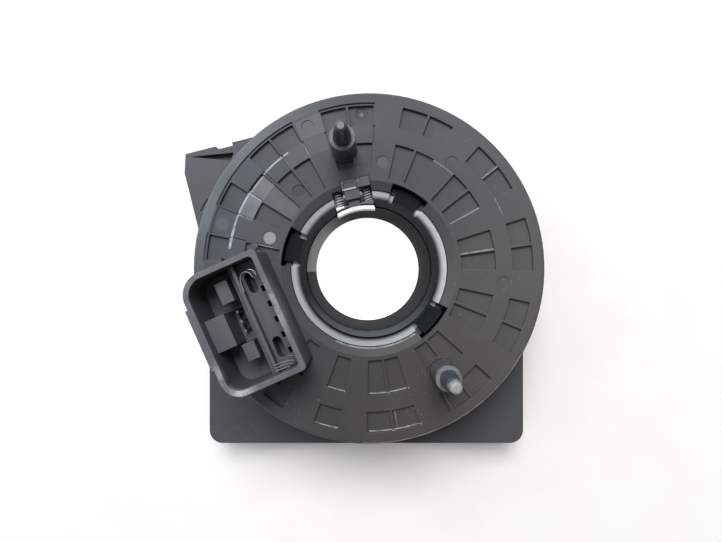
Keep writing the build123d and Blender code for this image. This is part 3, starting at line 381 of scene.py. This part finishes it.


# ---- the rotor disc -----------------------------------------------------------------------------
# pocket floors polished smoother and painted paler as painted sheen: inner and outer radius in mm, first and
# last angle, amount
POLISHED_AND_SHEEN = (
    (37.6, 42.4, 147.9, 157.3, 1.0), (37.6, 42.4, 138.0, 147.6, 0.7), (27.4, 37.4, 138.0, 147.6, 0.3),
    (37.6, 42.4, 118.0, 127.4, 0.15), (42.9, 48.8, 107.9, 117.4, 0.25), (37.6, 42.4, 108.0, 117.6, 0.12),
)
# painted sheen on the rim, which is also made smoother, in the same terms
RIM_SHEEN = ((49.3, 52.3, 104.0, 188.0, 0.48),)
RIM_SHEEN_FADE = 26.0
# painted highlights along pocket walls and edges, in the same terms
EDGE_HIGHLIGHTS = (
    (41.9, 42.4, 125.0, 172.0, 0.75), (41.7, 42.4, 163.0, 172.0, 0.8), (48.6, 48.95, 250.0, 259.0, 0.7),
    (37.3, 37.65, 250.0, 259.0, 0.6), (48.6, 48.95, 270.0, 289.0, 0.75), (37.3, 37.65, 270.0, 289.0, 0.6),
    (42.8, 43.1, 88.5, 96.0, 0.7), (37.7, 42.2, 117.6, 118.0, 0.55), (37.7, 42.2, 127.4, 127.8, 0.55),
    (37.7, 42.2, 147.6, 148.0, 0.8), (37.7, 42.2, 157.3, 157.8, 0.8), (27.4, 34.0, 167.7, 168.4, 0.6),
    (43.0, 48.8, 280.0, 280.35, 0.35), (43.0, 48.8, 300.5, 300.8, 0.35), (27.4, 37.4, 8.6, 9.2, 0.5),
    (27.4, 37.4, 28.6, 29.1, 0.5), (43.0, 48.8, 38.3, 38.7, 0.5), (37.4, 37.7, 48.5, 68.0, 0.3),
    (51.95, 52.4, 268.0, 335.0, 0.5), (23.6, 24.1, 245.0, 305.0, 0.4), (42.7, 43.0, 22.0, 38.0, 0.3),
)
# ejector marks: distance in mm, angle, radius in mm, amount
PALE_SPOTS = (
    (31.1, 162.8, 1.9, 0.8), (32.0, 82.7, 1.9, 0.12), (45.9, 163.1, 1.9, 0.1), (46.3, 92.8, 0.6, 0.4),
)
DARK_SPOTS = ((31.5, 132.4, 1.8, 0.6), (46.3, 92.8, 1.9, 0.4))
# the two posts' scuffed sides, in the same terms, and the heights over which scuffs and rims begin; the rims
# are paler with wear and painted highlight
POSTS = ((37.0, 305.5, 4.2, 0.75), (36.4, 102.0, 4.2, 0.35))
POST_SIDE_MM = (45.0, 48.0)
POST_RIM_MM = (57.6, 58.8)
# painted light: the disc is painted cooler towards its upper left, where cool light falls, along this much of
# -x and of y
COOL_ALONG_X, COOL_ALONG_Y = 0.8, 0.6
COOL_MM, COOL_SHARE = (-50.0, 50.0), 0.7
# and painted paler towards its right, as painted light
PALER_MM, PALER_SHARE = (15.0, 56.0), 0.45
COOL_LIGHT_TONE, RIGHT_LIGHT_TONE = (0.066, 0.084, 0.102), (0.14, 0.145, 0.15)
# the tones of the painted sheen on the polished floors and of the painted edge highlights
POLISHED_SHEEN_TONE, EDGE_HIGHLIGHT_TONE = (0.29, 0.31, 0.33), (0.5, 0.525, 0.55)
DARK_SPOT_TONE, PALE_SPOT_TONE = (0.03, 0.033, 0.036), (0.3, 0.32, 0.335)
POST_SIDE_TONE, POST_RIM_WEAR_AND_HIGHLIGHT_TONE = (0.16, 0.18, 0.2), (0.18, 0.195, 0.2)
# how much paler the painted sheen makes the polished floors, and how much smoother they are
POLISH_SHEEN_SHARE, POLISH_SMOOTHER = 0.55, 0.14


def disc_finish():
    """The rotor's face: painted cool light towards its upper left and painted light to its right, pocket
    floors polished unevenly and painted paler as sheen, painted edge highlights, ejector marks, and posts
    scuffed, their top rims paler with wear and painted highlight.
    """
    n = moulded_plastic("disc_plastic")
    n.shader.inputs["Specular IOR Level"].default_value = 0.3
    x, y = n.axes()[:2]
    upper_left = n.math("SUBTRACT", n.math("MULTIPLY", y, COOL_ALONG_Y), n.math("MULTIPLY", x, COOL_ALONG_X))
    colour = n.fed()
    # painted light: a cooler tone towards the upper left
    colour = n.mix(n.across_mm(upper_left, *COOL_MM), colour, n.mix(COOL_SHARE, colour, COOL_LIGHT_TONE))
    # painted light: paler towards the right
    colour = n.mix(n.across_mm(x, *PALER_MM), colour, n.mix(PALER_SHARE, colour, RIGHT_LIGHT_TONE))
    # polished floors and rim: smoother, and painted paler as painted sheen
    smooth = n.math("MAXIMUM", n.marks(POLISHED_AND_SHEEN), n.marks(RIM_SHEEN, fade=RIM_SHEEN_FADE))
    polish_and_sheen = n.math("MULTIPLY", smooth, n.patches(90, (0.3, 0.5), (0.6, 1.0), detail=5))
    colour = n.mix(n.math("MULTIPLY", polish_and_sheen, POLISH_SHEEN_SHARE), colour, POLISHED_SHEEN_TONE)
    # painted highlights along the listed edges
    wear_and_highlight = n.math("MULTIPLY", n.marks(EDGE_HIGHLIGHTS), n.patches(400, (0.35, 0.35), (0.55, 1.0)))
    colour = n.mix(wear_and_highlight, colour, EDGE_HIGHLIGHT_TONE)
    colour = n.mix(n.spots(DARK_SPOTS), colour, DARK_SPOT_TONE)
    colour = n.mix(n.spots(PALE_SPOTS), colour, PALE_SPOT_TONE)
    ragged = n.patches(420, (0.45, 0.0), (0.62, 1.0), detail=6, roughness=0.75)
    scuffed = n.math("MULTIPLY", n.math("MULTIPLY", n.spots(POSTS), n.above(*POST_SIDE_MM)), ragged)
    colour = n.mix(scuffed, colour, POST_SIDE_TONE)
    # the posts' top rims: paler with wear and painted highlight
    rim = n.math("MULTIPLY", n.above(*POST_RIM_MM), n.patches(500, (0.3, 0.4), (0.6, 1.0)))
    n.feed(n.mix(rim, colour, POST_RIM_WEAR_AND_HIGHLIGHT_TONE))
    rough = n.patches(45, (0.3, 0.48), (0.7, 0.62), detail=6, roughness=0.6)
    n.feed(n.math("SUBTRACT", rough, n.math("MULTIPLY", polish_and_sheen, POLISH_SMOOTHER)), "Roughness")
    return n


# ---- the other pieces: wear, painted shade and painted highlights -------------------------------
# each pin's paler tip, painted light on the upper pin's lit top and pale with wear on the lower pin: its
# tone, the height in mm where it begins, and the scuffs' cells per metre
LIT_AND_WORN_PIN_TIPS = {
    "upper_pin": ((0.05, 0.056, 0.061), 68.4, 700),
    "lower_pin": ((0.3, 0.295, 0.285), 66.6, 620),
}
# over these rises in mm the tip turns ragged, and then pale all round
PIN_RAGGED_MM, PIN_PALE_MM = (0.0, 2.2), (2.0, 2.6)

# painted sheen on the sleeve's chamfered mouth: its middle radius and half width, how far below the axis the
# sheen grows to full, and how much of it there is elsewhere
MOUTH_MM = (20.4, 1.0)
MOUTH_LOW_SIDE_MM = (8.0, 21.0)
MOUTH_SHEEN_LEAST = 0.08
# painted reflection on part of the sleeve's bore, which is also made smoother, in the terms of
# POLISHED_AND_SHEEN, and the angles between which it fades in
BORE_REFLECTION = ((18.9, 19.25, 100.0, 183.0, 1.0),)
BORE_FADE = (108.0, 140.0)
BORE_SMOOTHER = 0.3
# the pale backs of the spring slots
SPRING_BACKS = ((19.5, 24.5, 89.0, 96.3, 1.0), (19.5, 24.5, 109.2, 116.5, 1.0))
MOUTH_SHEEN_TONE, BORE_REFLECTION_TONE = (0.1, 0.118, 0.127), (0.34, 0.365, 0.39)
SPRING_BACK_TONE = (0.36, 0.37, 0.37)

# the heights between which the shroud's rim turns paler with wear and painted sheen, and the painted
# highlights on it, as spots
SHROUD_RIM_MM = (59.5, 63.0)
SHROUD_HIGHLIGHTS = (
    (47.2, 223.5, 5.0, 1.0), (43.5, 222.0, 3.2, 0.6), (28.2, 202.5, 6.2, 0.8), (31.4, 212.0, 6.0, 0.7),
    (47.8, 216.0, 4.6, 0.5), (46.0, 185.0, 7.0, 0.12), (24.6, 191.0, 4.0, 0.3),
)
SHROUD_SOFT = 0.8
SHROUD_RIM_WEAR_AND_SHEEN_TONE, SHROUD_HIGHLIGHT_TONE = (0.15, 0.158, 0.17), (0.42, 0.44, 0.45)

# painted shade: where along y the ring turns from shaded grey at its lower side to white, and the radii
# between which the painted shade along its inner edge ends
RING_SIDE_MM, RING_SIDE_SHADE_SHARE = (-23.0, 23.0), 0.85
RING_INNER_SHADE_MM = (21.2, 22.3)
RING_SIDE_SHADE_TONE, RING_INNER_SHADE_TONE = (0.27, 0.285, 0.295), (0.05, 0.055, 0.06)

# painted shade in the latch's groove and along its stem, in the terms of POLISHED_AND_SHEEN
LATCH_SHADE = (
    (19.15, 19.8, 80.0, 125.0, 1.0), (19.8, 20.75, 80.0, 112.0, 0.9), (19.45, 26.0, 96.3, 109.1, 1.0),
)
LATCH_SHADE_TONE = (0.02, 0.021, 0.022)
# painted highlights on the ridges of the latch's cover
RETAINER_HIGHLIGHTS = ((24.2, 24.75, 99.2, 109.0, 1.0), (26.4, 26.6, 97.0, 108.0, 0.5))
RETAINER_HIGHLIGHT_TONE = (0.45, 0.46, 0.47)


def pin_finish(name):
    """A dark pin whose blunt tip is paler: painted light on the upper pin, wear on the lower pin."""
    tip, low, scuffs = LIT_AND_WORN_PIN_TIPS[name]
    n = moulded_plastic(name)
    ragged = n.patches(scuffs, (0.35, 0.0), (0.5, 1.0), detail=5, roughness=0.7)
    lower, upper = (n.above(low + start, low + end) for start, end in (PIN_RAGGED_MM, PIN_PALE_MM))
    # painted light on the upper pin's tip, wear on the lower pin's
    pale = n.math("MAXIMUM", upper, n.math("MULTIPLY", lower, ragged))
    n.feed(n.mix(pale, n.fed(), tip))
    return n


def sleeve_finish():
    """The matt black hub, with painted sheen on the low side of its mouth, pale backs to its spring slots,
    and painted reflection on one side of its bore.
    """
    n = moulded_plastic("sleeve_plastic")
    n.shader.inputs["Specular IOR Level"].default_value = 0.085
    low_side = n.across_mm(n.math("MULTIPLY", n.axes()[1], -1.0), *MOUTH_LOW_SIDE_MM)
    mouth = n.math("COMPARE", n.radius(), *(size * MM for size in MOUTH_MM))
    # painted sheen on the mouth, strongest below the axis
    pale_amount = n.math("MULTIPLY", mouth, n.math("MULTIPLY_ADD", low_side, 1 - MOUTH_SHEEN_LEAST, MOUTH_SHEEN_LEAST))
    colour = n.mix(pale_amount, n.fed(), MOUTH_SHEEN_TONE)
    colour = n.mix(n.marks(SPRING_BACKS), colour, SPRING_BACK_TONE)
    start, full = BORE_FADE
    fade = n.ramp(n.math("DIVIDE", n.angle(), 360), ((start / 360, 0.0), (full / 360, 1.0)))
    # painted reflection on the bore, which is also smoother there
    smooth = n.math("MULTIPLY", n.marks(BORE_REFLECTION), fade)
    n.feed(n.mix(smooth, colour, BORE_REFLECTION_TONE))
    n.feed(n.math("SUBTRACT", n.fed("Roughness"), n.math("MULTIPLY", smooth, BORE_SMOOTHER)), "Roughness")
    return n


def shroud_finish():
    """The wheel connector's plastic, paler along the rim of its shroud with wear and painted sheen, and with
    painted highlights on the rim.
    """
    n = moulded_plastic("connector_plastic")
    top = n.above(*SHROUD_RIM_MM)
    pale_amount = n.patches(150, (0.4, 0.05), (0.66, 0.6), detail=6, roughness=0.7)
    # the rim: paler with wear and painted sheen
    colour = n.mix(n.math("MULTIPLY", top, pale_amount), n.fed(), SHROUD_RIM_WEAR_AND_SHEEN_TONE)
    # painted highlights on the rim
    highlight_spots = n.math("MULTIPLY", top, n.spots(SHROUD_HIGHLIGHTS, soft=SHROUD_SOFT))
    ragged = n.patches(330, (0.38, 0.1), (0.58, 1.0), detail=5, roughness=0.7)
    n.feed(n.mix(n.math("MULTIPLY", highlight_spots, ragged), colour, SHROUD_HIGHLIGHT_TONE))
    return n


def ring_finish():
    """The natural-coloured slide ring, with painted shade along its inner edge and on its lower side."""
    n = natural_plastic("ring_acetal")
    # painted shade on the ring's lower side
    grey = n.mix(RING_SIDE_SHADE_SHARE, n.fed(), RING_SIDE_SHADE_TONE)
    colour = n.mix(n.across_mm(n.axes()[1], *RING_SIDE_MM), grey, n.fed())
    # painted shade along the ring's inner edge
    n.feed(n.mix(n.across_mm(n.radius(), *RING_INNER_SHADE_MM), RING_INNER_SHADE_TONE, colour))
    return n


def latch_finish():
    """The white latch, with painted shade in its groove and along its stem."""
    n = natural_plastic("latch_acetal")
    # painted shade in the groove and along the stem
    n.feed(n.mix(n.marks(LATCH_SHADE), n.fed(), LATCH_SHADE_TONE))
    return n


def retainer_finish():
    """The latch's cover, dark and shiny, with painted highlights on its ridges."""
    n = moulded_plastic("retainer_plastic")
    # painted highlights on the ridges
    n.feed(n.mix(n.marks(RETAINER_HIGHLIGHTS), n.fed(), RETAINER_HIGHLIGHT_TONE))
    return n


def wire_finish():
    """The return springs' wire."""
    n = metal("spring_steel")
    n.shader.inputs["Metallic"].default_value = WIRE_METALLIC
    return n


def dress_nodes():
    assign(disc_finish(), "rotor_disc")
    assign(moulded_plastic("base_plastic"), "stator_housing", "back_cover")
    assign(sleeve_finish(), "hub_sleeve")
    assign(shroud_finish(), "wheel_connector_housing")
    assign(retainer_finish(), "latch_retainer")
    assign(moulded_plastic("insert_plastic"), "wheel_connector_insert", "code_ring",
           "inner_cable_terminal", "outer_cable_terminal", "column_connector_header")
    assign(pin_finish("upper_pin"), "guide_pin_upper")
    assign(pin_finish("lower_pin"), "guide_pin_lower")
    assign(moulded_plastic("chip_plastic"), "controller_chip", "hall_sensor", "light_barrier_fine",
           "light_barrier_coarse")
    assign(ring_finish(), "slide_ring")
    assign(natural_plastic("acetal"), "counter_gear")
    assign(latch_finish(), "lock_latch")
    assign(metal("steel"), "cover_screws", "counter_axle")
    assign(metal("tinned"), "wheel_contact_pins", "outer_terminal_pins", "column_connector_pins")
    assign(metal("magnet"), "counter_magnet")
    assign(natural_plastic("film"), "flat_cable")
    assign(moulded_plastic("board"), "sensor_board")


# ---- pieces modelled here: the wheel connector's contact clip, its end ribs, the latch's springs --
# the connector's middle, as distance from the column axis and angle, and the height of its insert
CONNECTOR_AT_MM = 37.4
CONNECTOR_TURN = math.radians(204)
INSERT_TOP_MM = 58.0
# strips as (name, width, height, path), all in mm, in the connector's own x and y
CLIP_STRIPS_MM = (
    ("contact_clip", 0.45, 0.55, ((3.5, 7.6), (3.5, 9.9), (3.75, 11.6), (4.4, 12.7), (5.4, 13.15),
                                  (6.4, 12.8), (7.1, 11.9), (7.3, 10.2))),
    ("contact_clip_tab", 0.5, 0.4, ((6.5, 13.3), (7.6, 13.0), (8.2, 12.1), (8.3, 10.6))),
)
RIB_STRIPS_MM = (
    ("end_rib_1", 0.42, 0.4, ((2.4, -13.7), (4.6, -13.75), (6.8, -13.9), (8.0, -14.3), (8.6, -15.0))),
    ("end_rib_2", 0.42, 0.4, ((2.2, -14.5), (4.6, -14.55), (6.4, -14.7), (7.4, -15.0), (7.9, -15.5))),
    ("end_rib_3", 0.42, 0.4, ((2.0, -15.3), (4.2, -15.3), (5.8, -15.4), (6.8, -15.65))),
    ("end_rib_4", 0.42, 0.4, ((6.9, -12.6), (8.2, -12.9), (9.0, -13.6), (9.2, -14.6))),
)
# a strip's rounded top as shares of its width and height, and how far it is sunk into the insert
STRIP_TOP = ((-0.5, 0.45), (-0.36, 0.8), (0.0, 1.0), (0.36, 0.8), (0.5, 0.45))
STRIP_SUNK_MM = 0.1
STRIP_SMOOTHING = 2

# the latch's springs: their seats' radii, their distance from the latch's middle and their height
LATCH_TURN = math.radians(102.7)
SPRING_SEATS_MM = (20.05, 24.45)
SPRING_OFFSET_MM = 4.4
SPRING_Z_MM = 40.0
COIL_R_MM, WIRE_R_MM = 1.05, 0.2
SPRING_TURNS, TURN_STEPS, WIRE_SIDES = 5, 24, 10


def add_tube(name, rings, material):
    """A closed tube through rings of as many points each, riding with the rotor."""
    sides = len(rings[0])
    faces = []
    for near in range(0, (len(rings) - 1) * sides, sides):
        far = near + sides
        for j in range(sides):
            k = (j + 1) % sides
            faces.append((near + j, near + k, far + k, far + j))
    faces.append(tuple(range(sides))[::-1])
    faces.append(tuple(range((len(rings) - 1) * sides, len(rings) * sides)))
    mesh = bpy.data.meshes.new(name)
    mesh.from_pydata([point for ring in rings for point in ring], [], faces)
    mesh.materials.append(material)
    piece = bpy.data.objects.new(name, mesh)
    bpy.context.scene.collection.objects.link(piece)
    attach(piece, "rotor")
    return piece


def in_connector(x, y, z):
    """A point of the wheel connector, in mm, as a place in the frame; x points at the column axis."""
    turn = CONNECTOR_TURN - math.pi
    cos, sin = math.cos(turn), math.sin(turn)
    middle_x = CONNECTOR_AT_MM * math.cos(CONNECTOR_TURN)
    middle_y = CONNECTOR_AT_MM * math.sin(CONNECTOR_TURN)
    return ((middle_x + x * cos - y * sin) * MM, (middle_y + x * sin + y * cos) * MM, z * MM)


def add_strip(name, width, height, path, material):
    """A strip along a path on the insert, round-topped and closed."""
    top = [(across, share * height) for across, share in STRIP_TOP]
    section = [(-0.5, -STRIP_SUNK_MM), *top, (0.5, -STRIP_SUNK_MM)]
    rings = []
    for i, (x, y) in enumerate(path):
        before, after = path[max(i - 1, 0)], path[min(i + 1, len(path) - 1)]
        along = Vector((after[0] - before[0], after[1] - before[1])).normalized()
        side = Vector((-along.y, along.x)) * width
        rings.append([in_connector(x + side.x * across, y + side.y * across, INSERT_TOP_MM + rise)
                      for across, rise in section])
    smooth = add_tube(name, rings, material).modifiers.new("smooth", "SUBSURF")
    smooth.levels = smooth.render_levels = STRIP_SMOOTHING


def add_spring(name, node, side, material):
    """A round-wire coil in place of the CAD's.

    side is 1 left of the latch, -1 right.
    """
    out = Vector((math.cos(LATCH_TURN), math.sin(LATCH_TURN), 0))
    left = Vector((-out.y, out.x, 0))
    low, high = SPRING_SEATS_MM
    middle = left * SPRING_OFFSET_MM * side + Vector((0, 0, SPRING_Z_MM))
    pitch = (high - low - 2 * WIRE_R_MM) / SPRING_TURNS
    rings = []
    for i in range(SPRING_TURNS * TURN_STEPS + 1):
        turn = 2 * math.pi * i / TURN_STEPS
        spoke = left * math.cos(turn) + Vector((0, 0, math.sin(turn)))
        centre = middle + out * (low + WIRE_R_MM + pitch * i / TURN_STEPS) + spoke * COIL_R_MM
        around = [2 * math.pi * j / WIRE_SIDES for j in range(WIRE_SIDES)]
        rings.append([(centre + (spoke * math.cos(a) + out * math.sin(a)) * WIRE_R_MM) * MM for a in around])
    piece = add_tube(name, rings, material)
    for face in piece.data.polygons:
        face.use_smooth = len(face.vertices) == 4
    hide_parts(node)
    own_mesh(piece)


def add_pieces():
    tin = metal("clip_tin").material
    # the ribs' paler plastic is painted highlight
    ribs = moulded_plastic("rib_plastic").material
    for strips, material in ((CLIP_STRIPS_MM, tin), (RIB_STRIPS_MM, ribs)):
        for strip in strips:
            add_strip(*strip, material)
    wire = wire_finish()
    assign(wire, "latch_spring_left", "latch_spring_right")
    add_spring("coil_left", "latch_spring_left", 1, wire.material)
    add_spring("coil_right", "latch_spring_right", -1, wire.material)


# ---- stage --------------------------------------------------------------------------------------
FLOOR_HALF = 1.5
FLOOR_DROP = 0.2 * MM
PAPER_STOPS = ((0.3, (0.85, 0.82, 0.79)), (0.7, (0.88, 0.86, 0.84)))
# how much the paper glows to the camera, and the radius under the bore inside which it glows fully, a painted
# pool of light that hides the part's shade there
PAPER_GLOW = 0.1
WHITE_R = 20 * MM

# lamps as (name, place, target, size, power in watts, colour)
LAMPS = (
    ("window", (-0.05, 0.42, 0.85), (0, 0, 0.03), 0.38, 7.0, (1.0, 0.98, 0.96)),
    ("edge", (-0.75, 0.60, 0.35), (0, 0, 0.04), 0.3, 1.2, (0.94, 0.98, 1.0)),
)
# the room's paler side, its colours across to it, and its strength
ROOM_WAY = (-0.55, 0.62, 0.3)
ROOM_STOPS = ((0.0, (0.24, 0.19, 0.165, 1)), (0.8, (1.3, 1.48, 1.72, 1)))
ROOM_STRENGTH = 0.72


def paper():
    """White paper: a little brighter to the camera, and glowing fully where it shows through the bore, as a
    painted pool of light.
    """
    n = Nodes("floor_paper")
    n.shader.inputs["Roughness"].default_value = 0.9
    n.shader.inputs["Specular IOR Level"].default_value = 0.1
    n.feed(n.ramp(n.noise(40, detail=5), PAPER_STOPS))
    rays = n.add("ShaderNodeLightPath").outputs
    mirrored = n.math("MAXIMUM", rays["Is Glossy Ray"], rays["Is Transmission Ray"])
    seen = n.math("MAXIMUM", rays["Is Camera Ray"], mirrored)
    # painted light: the paper under the bore glows fully
    inside = n.math("LESS_THAN", n.radius(), WHITE_R)
    glow = n.math("MULTIPLY_ADD", inside, 1 - PAPER_GLOW, PAPER_GLOW)
    n.feed(n.math("MULTIPLY", seen, glow), "Emission Strength")
    n.shader.inputs["Emission Color"].default_value = (1, 1, 1, 1)
    return n.material


def add_floor():
    mesh = bpy.data.meshes.new("floor")
    h = FLOOR_HALF
    mesh.from_pydata([(-h, -h, 0), (h, -h, 0), (h, h, 0), (-h, h, 0)], [], [(0, 1, 2, 3)])
    mesh.materials.append(paper())
    floor = bpy.data.objects.new("floor", mesh)
    floor.location.z = -FLOOR_DROP
    bpy.context.scene.collection.objects.link(floor)


def add_area(name, place, target, size, power, colour):
    data = bpy.data.lights.new(name, "AREA")
    data.size = size
    data.energy = power
    data.color = colour
    lamp = bpy.data.objects.new(name, data)
    lamp.location = place
    lamp.rotation_euler = (Vector(target) - Vector(place)).to_track_quat("-Z", "Y").to_euler()
    bpy.context.scene.collection.objects.link(lamp)


def add_room():
    """A soft world, brown on one side and pale blue on the side that lies to the object's upper left."""
    world = bpy.data.worlds.new("world")
    world.use_nodes = True
    bpy.context.scene.world = world
    nodes, links = world.node_tree.nodes, world.node_tree.links
    coord = nodes.new("ShaderNodeTexCoord")
    along = nodes.new("ShaderNodeVectorMath")
    along.operation = "DOT_PRODUCT"
    along.inputs[1].default_value = ROOM_WAY
    ramp = nodes.new("ShaderNodeValToRGB")
    for element, (position, colour) in zip(ramp.color_ramp.elements, ROOM_STOPS):
        element.position = position
        element.color = colour
    back = nodes["Background"]
    back.inputs["Strength"].default_value = ROOM_STRENGTH
    links.new(coord.outputs["Generated"], along.inputs[0])
    links.new(along.outputs["Value"], ramp.inputs["Fac"])
    links.new(ramp.outputs["Color"], back.inputs["Color"])


bpy.context.scene.view_settings.view_transform = "Standard"
add_camera()
add_floor()
add_room()
for lamp in LAMPS:
    add_area(*lamp)
dress_nodes()
add_pieces()
